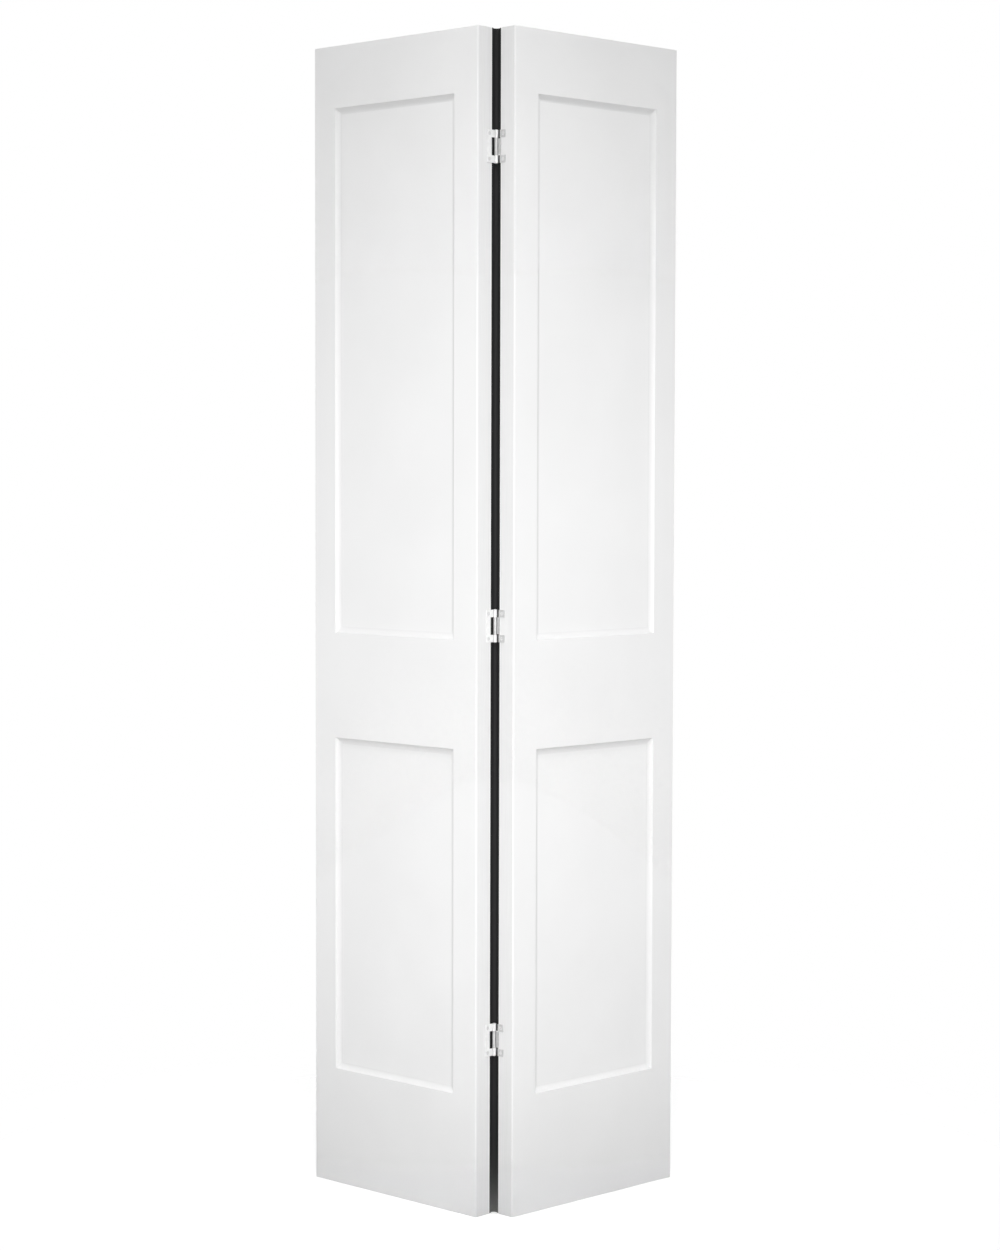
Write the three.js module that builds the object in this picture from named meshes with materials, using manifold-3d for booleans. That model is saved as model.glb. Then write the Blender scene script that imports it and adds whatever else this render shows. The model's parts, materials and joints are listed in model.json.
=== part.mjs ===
// A bifold closet door: two moulded leaves hinged on each other, half folded.
// Millimetres, +Z up. The hinge line is vertical and points towards -Y, and the floor is Z = 0.
import * as THREE from 'three';
import { mergeVertices } from 'three/addons/utils/BufferGeometryUtils.js';
import Module from 'manifold-3d';

const wasm = await Module();
wasm.setup();

// Fits
const glueGap = 0.3; // between any two pieces that lie against each other
const cutOverrun = 2; // how far a cutting tool reaches past the face that it cuts

// One leaf
const leafHeight = 2007;
const leafWidth = 398.2;
const leafThickness = 35;
const leafTurn = THREE.MathUtils.degToRad(43.8); // each leaf, away from the shut door

// Moulded skins
const skinThickness = 3.2;
const hingeStileFace = 54.5;
const outerStileFace = 52;
const topRailFace = 108;
const lockRailTop = 982; // above the floor
const lockRailFace = 186;
const bottomRailFace = 205;
const bevelRun = 7;
const bevelDepth = 7;

// Wood inside a leaf
const stileSetback = 7; // from the outline of the sunk panels to the stiles
const topRailCore = 60;
const lockRailCore = 100;
const bottomRailCore = 120;
const coreMargin = 6; // from a panel core to the slope round the sunk panel
const blockHeight = 90;
const socketRadius = 4.75;
const socketDepth = 62;
const socketFromEdge = 22.5;
const socketSides = 24;

// Hinges
const hingeFromTop = 197;
const hingeFromBottom = 300;
const middleHingeRise = 2.5; // above half height
const hingeHeight = 55;
const middleKnuckle = 29;
const knuckleGap = 0.5;
const pinOffset = 8.5; // hinge axis behind the back faces of the leaves
const plateThickness = 1.2;
const plateShutGap = 0.6; // between the two plates when the door is shut flat
const plateReach = 12.5; // over the edge of the leaf, from its back corner
const webReach = 2; // of the strip that carries the ears, over the edge of the leaf
const endWebWidth = 8; // of the strip that joins the two ears of the end-knuckle plate
const barrelRadius = 3.5;
const pinRadius = 1.7;
const pinClearance = 0.3;
const pinHeadRadius = 2.9;
const pinHeadHeight = 1;
const pinHeadEdge = 0.4;
const earOverhang = 0.5; // of the middle-knuckle plate's ears, past the back face of the leaf
const webRelief = 1.2; // how much lower the web is than the knuckle on it, at each end
const barrelSides = 24;

// Screws
const screwHeadRadius = 3.3;
const screwShankRadius = 1.6;
const screwLength = 25;
const screwTip = 4;
const screwFromBack = 7; // screw axis in front of the leaf's back face
const screwSink = 0.1; // head below the face of the plate
const screwSides = 16;
const crossWidth = 0.7;
const crossSpan = 3.4;
const crossDepth = 0.8;

// Seal behind the gap
const sealThickness = 1.6;
const sealClearance = 0.9; // from the arc to the back faces of the leaves
const sealFlange = 24; // where the flange ends, from the hinge line along the leaf
const sealFromCorner = 0.5; // where the flange starts, from the leaf's back corner
const sealEndGap = 0.3; // from each end of the leaf
const sealArcStart = THREE.MathUtils.degToRad(-72);
const sealArcEnd = THREE.MathUtils.degToRad(155);
const sealArcSteps = 16;
const sealNotchGap = 0.7; // above and below the web that swings through the notch
const sealNotchSide = 1; // past the far side of the web, when the door is folded

// Worked out from the sizes above
const edgeX = glueGap + plateThickness + plateShutGap / 2;
const outerX = edgeX + leafWidth;
const backY = -pinOffset;
const frontY = backY - leafThickness;
const innerBackY = backY - skinThickness - glueGap;
const innerFrontY = frontY + skinThickness + glueGap;
const stileInnerX = edgeX + hingeStileFace - stileSetback;
const outerStileX = outerX - outerStileFace + stileSetback;
const upperPanelZ = [lockRailTop, leafHeight - topRailFace];
const lowerPanelZ = [bottomRailFace, lockRailTop - lockRailFace];
const hingeLevels = {
  bottom: hingeFromBottom,
  middle: leafHeight / 2 + middleHingeRise,
  top: leafHeight - hingeFromTop,
};
const plateOuterX = edgeX - glueGap;
const plateInnerX = plateOuterX - plateThickness;
const boreRadius = pinRadius + pinClearance;
const plateRootY = -(boreRadius + barrelRadius) / 2;
const plateEndY = backY - plateReach;
const screwY = backY - screwFromBack;
const endKnuckle = (hingeHeight - middleKnuckle) / 2 - knuckleGap;
const earOffset = (hingeHeight - endKnuckle) / 2;
const earHalfGap = hingeHeight / 2 - endKnuckle;
const webHalf = middleKnuckle / 2 - webRelief;
const nearestY = edgeX * Math.sin(leafTurn) + frontY * Math.cos(leafTurn);
const farthestY = outerX * Math.sin(leafTurn) + backY * Math.cos(leafTurn);
const pinY = -(nearestY + farthestY) / 2;

const finishes = {
  skin: new THREE.MeshStandardMaterial({ color: 0xf0f0ef, roughness: 0.5, metalness: 0 }),
  pine: new THREE.MeshStandardMaterial({ color: 0xeeeeec, roughness: 0.6, metalness: 0 }),
  filler: new THREE.MeshStandardMaterial({ color: 0xb08d63, roughness: 0.9, metalness: 0 }),
  zinc: new THREE.MeshStandardMaterial({ color: 0xc9cbcc, roughness: 0.35, metalness: 1 }),
  steel: new THREE.MeshStandardMaterial({ color: 0xb4b6b8, roughness: 0.3, metalness: 1 }),
  seal: new THREE.MeshStandardMaterial({ color: 0x1a1a1b, roughness: 0.6, metalness: 0 }),
};

// Solids and the joins and cuts between them

function solidFrom(geometry) {
  const bare = geometry.index ? geometry.toNonIndexed() : geometry.clone();
  bare.deleteAttribute('normal');
  bare.deleteAttribute('uv');
  const merged = mergeVertices(bare);
  const vertProperties = new Float32Array(merged.attributes.position.array);
  const triVerts = new Uint32Array(merged.index.array);
  return new wasm.Manifold(new wasm.Mesh({ numProp: 3, vertProperties, triVerts }));
}

// A leaf is drawn as the right one. The left one is its mirror image, with its faces turned over.
function geometryFrom(solid, mirrored) {
  const mesh = solid.getMesh();
  const positions = new Float32Array(mesh.vertProperties);
  const corners = new Uint32Array(mesh.triVerts);
  if (mirrored) {
    for (let i = 0; i < positions.length; i += 3) positions[i] = -positions[i];
    for (let i = 0; i < corners.length; i += 3) {
      const second = corners[i + 1];
      corners[i + 1] = corners[i + 2];
      corners[i + 2] = second;
    }
  }
  const geometry = new THREE.BufferGeometry();
  geometry.setAttribute('position', new THREE.BufferAttribute(positions, 3));
  geometry.setIndex(new THREE.BufferAttribute(corners, 1));
  geometry.computeVertexNormals();
  return geometry;
}

function block(x, y, z) {
  const geometry = new THREE.BoxGeometry(x[1] - x[0], y[1] - y[0], z[1] - z[0]);
  geometry.translate((x[0] + x[1]) / 2, (y[0] + y[1]) / 2, (z[0] + z[1]) / 2);
  return solidFrom(geometry);
}

function upright(radius, bottom, top, sides) {
  const geometry = new THREE.CylinderGeometry(radius, radius, top - bottom, sides);
  geometry.rotateX(Math.PI / 2);
  geometry.translate(0, 0, (bottom + top) / 2);
  return geometry;
}

function lathed(profile, sides) {
  return new THREE.LatheGeometry(profile.map(([r, h]) => new THREE.Vector2(r, h)), sides);
}

// A flat-ended wedge with a rectangular section that narrows from one depth to another.
// Depth is measured from a face of the leaf, towards its middle; inset is from the panel's outline.
function taperedBlock(face, outline, outer, inner) {
  const positions = [];
  for (const level of [outer, inner]) {
    const y = face.y + face.inward * level.depth;
    const x0 = outline.x[0] + level.inset;
    const x1 = outline.x[1] - level.inset;
    const z0 = outline.z[0] + level.inset;
    const z1 = outline.z[1] - level.inset;
    positions.push(x0, y, z0, x1, y, z0, x1, y, z1, x0, y, z1);
  }
  const sides = [0, 1, 2, 0, 2, 3, 4, 6, 5, 4, 7, 6];
  for (let i = 0; i < 4; i += 1) {
    const next = (i + 1) % 4;
    sides.push(i, i + 4, next, next, i + 4, next + 4);
  }
  if (face.inward < 0) sides.reverse();
  const geometry = new THREE.BufferGeometry();
  geometry.setAttribute('position', new THREE.Float32BufferAttribute(positions, 3));
  geometry.setIndex(sides);
  return solidFrom(geometry);
}

// The leaf

const frontFace = { y: frontY, inward: 1 };
const backFace = { y: backY, inward: -1 };
const panelX = [edgeX + hingeStileFace, outerX - outerStileFace];
const panels = {
  upper: { x: panelX, z: upperPanelZ },
  lower: { x: panelX, z: lowerPanelZ },
};

function showFaceInset(depth) {
  return (bevelRun * depth) / bevelDepth;
}

// The hidden face of the skin, one skin thickness behind the slope.
function hiddenFaceInset(depth) {
  return showFaceInset(depth) - (skinThickness * Math.hypot(bevelRun, bevelDepth)) / bevelDepth;
}

function skin(face) {
  const y = [face.y, face.y + face.inward * skinThickness].sort((a, b) => a - b);
  let solid = block([edgeX, outerX], y, [0, leafHeight]);
  const middle = skinThickness / 2;
  const floor = bevelDepth + skinThickness;
  for (const outline of Object.values(panels)) {
    solid = solid.add(
      taperedBlock(
        face,
        outline,
        { depth: middle, inset: hiddenFaceInset(middle) },
        { depth: floor, inset: hiddenFaceInset(floor) },
      ),
    );
  }
  for (const outline of Object.values(panels)) {
    solid = solid.subtract(
      taperedBlock(
        face,
        outline,
        { depth: -cutOverrun, inset: showFaceInset(-cutOverrun) },
        { depth: bevelDepth, inset: bevelRun },
      ),
    );
  }
  return solid;
}

function panelCore(outline) {
  const inset = hiddenFaceInset(bevelDepth + skinThickness) + coreMargin;
  const depth = bevelDepth + skinThickness + glueGap;
  return block(
    [outline.x[0] + inset, outline.x[1] - inset],
    [frontY + depth, backY - depth],
    [outline.z[0] + inset, outline.z[1] - inset],
  );
}

const coreY = [innerFrontY, innerBackY];

function rail(bottom, top) {
  return block([stileInnerX + glueGap, outerStileX - glueGap], coreY, [bottom, top]);
}

function hingeStile() {
  let solid = block([edgeX, stileInnerX], coreY, [0, leafHeight]);
  for (const level of Object.values(hingeLevels)) {
    for (const ear of [-earOffset, earOffset]) {
      const hole = upright(screwShankRadius + glueGap, -cutOverrun, screwLength + glueGap, screwSides);
      hole.rotateY(Math.PI / 2);
      hole.translate(edgeX, screwY, level + ear);
      solid = solid.subtract(solidFrom(hole));
    }
  }
  return solid;
}

function pivotBlock(atTop) {
  const z = atTop ? [leafHeight - blockHeight, leafHeight] : [0, blockHeight];
  const socket = atTop
    ? upright(socketRadius, leafHeight - socketDepth, leafHeight + cutOverrun, socketSides)
    : upright(socketRadius, -cutOverrun, socketDepth, socketSides);
  socket.translate(outerX - socketFromEdge, (frontY + backY) / 2, 0);
  return block([outerStileX, outerX], coreY, z).subtract(solidFrom(socket));
}

function outerStile(blocks) {
  const bottom = blocks.bottom ? blockHeight + glueGap : 0;
  const top = blocks.top ? leafHeight - blockHeight - glueGap : leafHeight;
  return block([outerStileX, outerX], coreY, [bottom, top]);
}

// The hinges

function knuckle(bottom, top) {
  const ring = solidFrom(upright(barrelRadius, bottom, top, barrelSides));
  return ring.subtract(solidFrom(upright(boreRadius, bottom - cutOverrun, top + cutOverrun, barrelSides)));
}

function plateStrip(y, z) {
  return block([plateInnerX, plateOuterX], y, z);
}

function screwHoles(solid) {
  let drilled = solid;
  const bottomRadius = screwShankRadius + 2 * glueGap;
  const topRadius = screwHeadRadius + glueGap;
  for (const ear of [-earOffset, earOffset]) {
    const hole = lathed(
      [
        [0, -cutOverrun],
        [topRadius, -cutOverrun],
        [topRadius, screwSink],
        [bottomRadius, plateThickness],
        [bottomRadius, plateThickness + cutOverrun],
        [0, plateThickness + cutOverrun],
      ],
      screwSides,
    );
    hole.rotateZ(-Math.PI / 2);
    hole.translate(plateInnerX, screwY, ear);
    drilled = drilled.subtract(solidFrom(hole));
  }
  return drilled;
}

function endKnucklePlate() {
  const half = hingeHeight / 2;
  let solid = plateStrip([plateEndY, plateEndY + endWebWidth], [-half, half]);
  for (const z of [[-half, -earHalfGap], [earHalfGap, half]]) {
    solid = solid.add(plateStrip([plateEndY, plateRootY], z));
    solid = solid.add(knuckle(z[0], z[1]));
  }
  for (const z of [[-half, -earHalfGap], [earHalfGap, half]]) {
    solid = solid.subtract(solidFrom(upright(boreRadius, z[0] - cutOverrun, z[1] + cutOverrun, barrelSides)));
  }
  return screwHoles(solid);
}

function middleKnucklePlate() {
  const half = hingeHeight / 2;
  const halfKnuckle = middleKnuckle / 2;
  const webEndY = backY - webReach;
  const earTipY = backY + earOverhang;
  let solid = plateStrip([webEndY, earTipY], [-half, half]);
  for (const z of [[-half, -earHalfGap], [earHalfGap, half]]) {
    solid = solid.add(plateStrip([plateEndY, earTipY], z));
  }
  solid = solid.add(plateStrip([webEndY, plateRootY], [-webHalf, webHalf]));
  solid = solid.add(knuckle(-halfKnuckle, halfKnuckle));
  solid = solid.subtract(
    solidFrom(upright(boreRadius, -halfKnuckle - cutOverrun, halfKnuckle + cutOverrun, barrelSides)),
  );
  return screwHoles(solid);
}

function hingePin() {
  const end = hingeHeight / 2 + glueGap;
  const geometry = lathed(
    [
      [0, -end - pinHeadHeight],
      [pinHeadRadius - pinHeadEdge, -end - pinHeadHeight],
      [pinHeadRadius, -end - pinHeadHeight + pinHeadEdge],
      [pinHeadRadius, -end],
      [pinRadius, -end],
      [pinRadius, end],
      [pinHeadRadius, end],
      [pinHeadRadius, end + pinHeadHeight - pinHeadEdge],
      [pinHeadRadius - pinHeadEdge, end + pinHeadHeight],
      [0, end + pinHeadHeight],
    ],
    barrelSides,
  );
  geometry.rotateX(Math.PI / 2);
  return solidFrom(geometry);
}

function screw() {
  const body = lathed(
    [
      [0, 0],
      [screwHeadRadius, 0],
      [screwShankRadius, plateThickness - screwSink],
      [screwShankRadius, screwLength - screwTip],
      [0, screwLength],
    ],
    screwSides,
  );
  body.rotateZ(-Math.PI / 2);
  body.translate(plateInnerX + screwSink, 0, 0);
  const headX = [plateInnerX - cutOverrun, plateInnerX + screwSink + crossDepth];
  const long = [-crossSpan / 2, crossSpan / 2];
  const short = [-crossWidth / 2, crossWidth / 2];
  return solidFrom(body).subtract(block(headX, long, short)).subtract(block(headX, short, long));
}

// The seal: a flange on the back of the left leaf, and an arc round the hinge line

function gapSeal() {
  const outerRadius = pinOffset - sealClearance;
  const innerRadius = outerRadius - sealThickness;
  const flangeY = backY + glueGap;
  const flangeTopY = flangeY + sealThickness;
  const outline = new THREE.Shape();
  outline.moveTo(sealFlange, flangeTopY);
  outline.absarc(0, 0, outerRadius, Math.asin(flangeTopY / outerRadius), sealArcEnd, false);
  outline.absarc(0, 0, innerRadius, sealArcEnd, sealArcStart, true);
  outline.lineTo(edgeX + sealFromCorner, flangeY);
  outline.lineTo(sealFlange, flangeY);
  const strip = new THREE.ExtrudeGeometry(outline, {
    depth: leafHeight - 2 * sealEndGap,
    bevelEnabled: false,
    curveSegments: sealArcSteps,
  });
  strip.translate(0, 0, sealEndGap);
  let solid = solidFrom(strip);
  const notchHalf = webHalf + sealNotchGap;
  for (const level of Object.values(hingeLevels)) {
    solid = solid.subtract(
      block(
        [-outerRadius - cutOverrun, plateOuterX + sealNotchSide],
        [-outerRadius - cutOverrun, outerRadius + cutOverrun],
        [level - notchHalf, level + notchHalf],
      ),
    );
  }
  return solid;
}

// The assembly

const door = new THREE.Group();

function addPiece(group, name, solid, finish, mirrored) {
  const mesh = new THREE.Mesh(geometryFrom(solid, mirrored), finish);
  mesh.name = name;
  group.add(mesh);
  return mesh;
}

function addLeaf(side, blocks) {
  const mirrored = side === 'left';
  const leaf = new THREE.Group();
  leaf.position.y = pinY;
  leaf.rotation.z = mirrored ? -leafTurn : leafTurn;
  door.add(leaf);
  const add = (name, solid, finish) => addPiece(leaf, `${side}_${name}`, solid, finish, mirrored);
  add('front_skin', skin(frontFace), finishes.skin);
  add('back_skin', skin(backFace), finishes.skin);
  add('hinge_stile', hingeStile(), finishes.pine);
  add('outer_stile', outerStile(blocks), finishes.pine);
  if (blocks.top) add('top_pivot_block', pivotBlock(true), finishes.pine);
  if (blocks.bottom) add('bottom_pivot_block', pivotBlock(false), finishes.pine);
  const lockRailMiddle = lockRailTop - lockRailFace / 2;
  add('top_rail', rail(leafHeight - topRailCore, leafHeight), finishes.pine);
  add('lock_rail', rail(lockRailMiddle - lockRailCore / 2, lockRailMiddle + lockRailCore / 2), finishes.pine);
  add('bottom_rail', rail(0, bottomRailCore), finishes.pine);
  add('upper_core', panelCore(panels.upper), finishes.filler);
  add('lower_core', panelCore(panels.lower), finishes.filler);
  return leaf;
}

function addHingePlate(leaf, side, level, name, solid) {
  const mirrored = side === 'left';
  addPiece(leaf, name, solid, finishes.zinc, mirrored).position.z = hingeLevels[level];
  for (const [ear, offset] of [['lower', -earOffset], ['upper', earOffset]]) {
    const piece = addPiece(leaf, `${level}_hinge_${side}_${ear}_screw`, screw(), finishes.steel, mirrored);
    piece.position.set(0, screwY, hingeLevels[level] + offset);
  }
}

const leftLeaf = addLeaf('left', { top: true, bottom: true });
const rightLeaf = addLeaf('right', { top: true, bottom: false });

for (const level of Object.keys(hingeLevels)) {
  addHingePlate(leftLeaf, 'left', level, `${level}_hinge_left_plate`, endKnucklePlate());
  addHingePlate(rightLeaf, 'right', level, `${level}_hinge_right_plate`, middleKnucklePlate());
  addPiece(leftLeaf, `${level}_hinge_pin`, hingePin(), finishes.steel, true).position.z = hingeLevels[level];
}

addPiece(leftLeaf, 'gap_seal', gapSeal(), finishes.seal, true);

export default door;
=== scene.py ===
"""The looks of a bifold closet door, half folded: two white primed moulded leaves on three hinges."""

import json
import math

import bmesh
import bpy
from mathutils import Matrix, Vector


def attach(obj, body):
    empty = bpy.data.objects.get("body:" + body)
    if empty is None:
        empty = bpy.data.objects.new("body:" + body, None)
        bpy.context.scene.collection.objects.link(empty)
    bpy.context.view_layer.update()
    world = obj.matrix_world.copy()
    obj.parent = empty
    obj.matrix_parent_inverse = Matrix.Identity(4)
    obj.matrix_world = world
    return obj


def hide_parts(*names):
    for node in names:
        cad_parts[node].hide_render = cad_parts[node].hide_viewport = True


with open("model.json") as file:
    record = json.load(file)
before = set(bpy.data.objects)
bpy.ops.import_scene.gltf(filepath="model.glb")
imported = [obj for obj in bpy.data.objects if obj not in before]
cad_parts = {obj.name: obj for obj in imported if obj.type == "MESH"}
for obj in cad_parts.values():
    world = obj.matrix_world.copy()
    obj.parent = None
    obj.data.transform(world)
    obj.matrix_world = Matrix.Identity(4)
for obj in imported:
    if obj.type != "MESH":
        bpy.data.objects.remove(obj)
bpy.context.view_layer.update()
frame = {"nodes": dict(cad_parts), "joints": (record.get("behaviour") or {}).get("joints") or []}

# Sizes are in millimetres, and become metres when a mesh is made. A leaf is drawn as the right one:
# x runs from the hinge line along the leaf, y from its front to its back, and z up.
# The left leaf is its mirror image.
MM = 0.001
SIDES = {"left": -1, "right": 1}
fold = frame["joints"][0]
PIN = Vector(fold["pos_m"])
LEAF_TURN = math.radians(-fold["range_deg"][0]) / 2


def leaf_matrix(side):
    """Where a leaf stands: turned from the shut door about the pin line."""
    return Matrix.Translation(PIN) @ Matrix.Rotation(SIDES[side] * LEAF_TURN, 4, "Z")


def leaf_box(node, side):
    """A CAD node's lowest and highest corners in the frame of its leaf."""
    to_leaf = leaf_matrix(side).inverted()
    points = [(to_leaf @ v.co) / MM for v in frame["nodes"][node].data.vertices]
    xs = [SIDES[side] * p.x for p in points]
    ys = [p.y for p in points]
    zs = [p.z for p in points]
    return Vector((min(xs), min(ys), min(zs))), Vector((max(xs), max(ys), max(zs)))


# The leaf, from its packed skins
front_low, front_high = leaf_box("right_front_skin", "right")
_, back_high = leaf_box("right_back_skin", "right")
EDGE_X = front_low.x  # the edge at the hinge line
OUTER_X = front_high.x
FRONT_Y = front_low.y
BACK_Y = back_high.y
LEAF_HEIGHT = front_high.z
GLUE_GAP = 0.3  # between the solids of the CAD
JOINT_GAP = 0.02  # left between skin and wood in the finished door

# Moulded skin
SKIN_THICKNESS = 3.2
HINGE_STILE_FACE = 54.5
OUTER_STILE_FACE = 52
TOP_RAIL_FACE = 108
LOCK_RAIL_TOP = 982
LOCK_RAIL_FACE = 186
BOTTOM_RAIL_FACE = 205
SLOPE_RUN = 4  # of the straight slope round a sunk panel, without the hollow at its foot
SLOPE_DEPTH = 7
SLOPE_ANGLE = math.atan2(SLOPE_DEPTH, SLOPE_RUN)
BROW_RADIUS = 0.9  # where the flat face turns into the slope
HOLLOW_RADIUS = 12  # where the slope turns into the sunk panel
HIDDEN_BROW_RADIUS = 0.6  # the same on the side that is glued down
ARRIS_RADIUS = 2  # of the long edges at the front
BACK_EDGE_RADIUS = 0.8  # of the long edges at the back
END_EDGE_RADIUS = 0.8  # of the edges at the top and bottom ends
ROUND_STEPS = 6
PANEL_X = (EDGE_X + HINGE_STILE_FACE, OUTER_X - OUTER_STILE_FACE)
LOWER_PANEL_Z = (BOTTOM_RAIL_FACE, LOCK_RAIL_TOP - LOCK_RAIL_FACE)
UPPER_PANEL_Z = (LOCK_RAIL_TOP, LEAF_HEIGHT - TOP_RAIL_FACE)

# Wood inside the leaf
WOOD_BEVEL = 0.12
HOLE_SIDES = 32
SOCKET_RADIUS = 4.75
SOCKET_DEPTH = 62
SOCKET_FROM_EDGE = 22.5
CUT_OVERRUN = 2  # how far a cutter reaches past the faces that it cuts

# Hinges
plate_low, plate_high = leaf_box("middle_hinge_right_plate", "right")
PLATE_THICKNESS = 1.2
PLATE_OUTER_X = EDGE_X - GLUE_GAP  # the side that lies against the leaf
PLATE_MIDDLE_X = PLATE_OUTER_X - PLATE_THICKNESS / 2
PLATE_FACE_X = PLATE_OUTER_X - PLATE_THICKNESS  # the side that shows in the gap
PLATE_END_Y = plate_low.y
BARREL_RADIUS = plate_high.y
HINGE_HEIGHT = plate_high.z - plate_low.z
END_WEB_WIDTH = 8  # of the strip that joins the two ears of the left plate
MIDDLE_KNUCKLE = 29
KNUCKLE_GAP = 0.5
WEB_REACH = 2  # over the edge of the leaf, of the strip that joins the ears of the right plate
EAR_OVERHANG = 0.5  # past the back face of the leaf, of the ears beside the middle knuckle
RELIEF_SLOT = 1.2  # how much lower the web is than the knuckle on it, at each end
BEND_RADIUS = 1.2  # where the flat of the plate turns into the knuckle
SEAM_ANGLE = math.radians(255)  # where the roll of the knuckle ends
ROLL_STEPS = 40
BEND_STEPS = 6
EAR_CORNER_RADIUS = 1.6
EAR_CORNER_STEPS = 5
PLATE_BEVEL = 0.14
EAR_HALF_GAP = MIDDLE_KNUCKLE / 2 + KNUCKLE_GAP
EAR_OFFSET = (HINGE_HEIGHT / 2 + EAR_HALF_GAP) / 2
PIN_RADIUS = 2.1
PIN_HEAD_RADIUS = 2.9
PIN_HEAD_HEIGHT = 1
PIN_HEAD_GAP = 0.06  # between a head and the end of the knuckle
PIN_STEPS = 7
TURNED_SIDES = 48

# Screws
SCREW_FROM_BACK = 7  # from the back face of the leaf to the axis of the screws
SCREW_Y = BACK_Y - SCREW_FROM_BACK
HEAD_RADIUS = 3.3
HEAD_RIM = 0.12  # chamfer round the head
SHANK_RADIUS = 1.6
SCREW_LENGTH = 25
SCREW_TIP = 4
SCREW_SINK = 0.1  # of the head below the face of the plate
COUNTERSINK_GAP = 0.12  # between the screw and its hole
CROSS_SPAN = 3.4
CROSS_BOTTOM_SPAN = 1.5
CROSS_WIDTH = 0.75
CROSS_BOTTOM_WIDTH = 0.5
CROSS_DEPTH = 1.5

# Seal behind the gap
SEAL_THICKNESS = 1.6
SEAL_CLEARANCE = 0.9  # from the arc to the line of the leaves' back faces
SEAL_FLANGE = 24  # from the hinge line to the far edge of the flange
SEAL_FROM_CORNER = 0.5  # from the back corner of the leaf to the near edge of the flange
SEAL_END_GAP = 0.3  # at the top and bottom ends of the leaf
SEAL_ARC_START = math.radians(-72)
SEAL_ARC_END = math.radians(155)
SEAL_ARC_STEPS = 60
SEAL_NOTCH_GAP = 0.7  # above and below the web that swings through the notch
SEAL_NOTCH_SIDE = 1  # past the far side of the web, when the door is folded
SEAL_BEVEL = 0.35

SHARP_ANGLE = math.radians(38)  # a real edge turns by more than this


# Finishes

WAVE_PHASE = 20  # how fast the phase of a Wave texture of scale 1 runs, in radians per unit
PINE_RING = 6  # growth rings are about 3 mm apart, and are drawn twice as wide so that they show
GRAIN_STRETCH = 0.04  # how much slower the rings change along the wood than across it
FIBRE_WIDTH = 0.5
FIBRE_LENGTH = 12
CARD_FLUTE = 7
FLOOR_LIGHT_HEIGHT = 200  # where the painted floor light at the foot of the seal has faded out
FLOOR_LIGHT_FALL = 4.4  # the power of its fade: most of it lies in the lowest quarter
MIX_A, MIX_B, MIX_RESULT = 6, 7, 2  # colour sockets of a Mix node


def linear(hex_colour):
    """An sRGB hex colour as linear red, green, blue and alpha."""
    channels = [int(hex_colour[i : i + 2], 16) / 255 for i in (1, 3, 5)]
    return [c / 12.92 if c <= 0.04045 else ((c + 0.055) / 1.055) ** 2.4 for c in channels] + [1]


def add(tree, kind, inputs=None, **settings):
    """A shader node with its settings, and its inputs set to values or linked to other nodes' outputs."""
    made = tree.nodes.new(kind)
    for name, value in settings.items():
        setattr(made, name, value)
    for socket, value in (inputs or {}).items():
        if isinstance(value, bpy.types.NodeSocket):
            tree.links.new(value, made.inputs[socket])
        else:
            made.inputs[socket].default_value = value
    return made


def new_material(name):
    """An empty material, its node tree and the coordinates of the piece that wears it, in metres."""
    material = bpy.data.materials.new(name)
    material.use_nodes = True
    tree = material.node_tree
    tree.nodes.clear()
    place = add(tree, "ShaderNodeTexCoord").outputs["Object"]
    return material, tree, place


def per_metre(*sizes_mm):
    """Scale of a pattern whose features have these sizes in millimetres along x, y and z."""
    return [1 / (size * MM) for size in sizes_mm]


def noise(tree, place, *sizes_mm, detail=2.0, roughness=0.5):
    """Soft random pattern, from 0 to 1, whose features have these sizes along x, y and z."""
    sizes = sizes_mm if len(sizes_mm) == 3 else sizes_mm * 3
    scaled = add(tree, "ShaderNodeMapping", {"Vector": place, "Scale": per_metre(*sizes)})
    return add(
        tree,
        "ShaderNodeTexNoise",
        {"Vector": scaled.outputs[0], "Scale": 1.0, "Detail": detail, "Roughness": roughness},
    ).outputs["Fac"]


def wave_scale(spacing_mm):
    """Scale of a Wave texture whose waves are this far apart."""
    return 2 * math.pi / (WAVE_PHASE * spacing_mm * MM)


def between(tree, pattern, low, high, start=0.3, end=0.7):
    """The pattern, which mostly lies between start and end, stretched to run from low to high."""
    return add(
        tree,
        "ShaderNodeMapRange",
        {"Value": pattern, "From Min": start, "From Max": end, "To Min": low, "To Max": high},
    ).outputs[0]


def blended(tree, share, first, second):
    """One colour where the share is 0 and another where it is 1."""
    mixed = add(tree, "ShaderNodeMix", {0: share, MIX_A: first, MIX_B: second}, data_type="RGBA")
    return mixed.outputs[MIX_RESULT]


def finish_surface(tree, height, relief_mm, sockets):
    """The Principled shader with a bump of this real depth, joined to the output."""
    bump = add(tree, "ShaderNodeBump", {"Height": height, "Distance": relief_mm * MM, "Strength": 1.0})
    shader = add(tree, "ShaderNodeBsdfPrincipled", {"Normal": bump.outputs[0], **sockets})
    add(tree, "ShaderNodeOutputMaterial", {"Surface": shader.outputs[0]})


def sprayed_primer_on_hardboard(part, whitest, greyest):
    """Factory acrylic primer sprayed on a moulded skin: even white, satin, with a faint orange peel."""
    material, tree, place = new_material(f"sprayed_primer_on_hardboard_{part}")
    patches = noise(tree, place, 160)
    peel = noise(tree, place, 2.6, detail=1.5)
    sockets = {
        "Base Color": blended(tree, between(tree, patches, 0, 1), linear(whitest), linear(greyest)),
        "Roughness": between(tree, noise(tree, place, 45, 45, 90), 0.44, 0.54),
        "IOR": 1.48,
    }
    finish_surface(tree, peel, 0.02, sockets)
    return material


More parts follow.
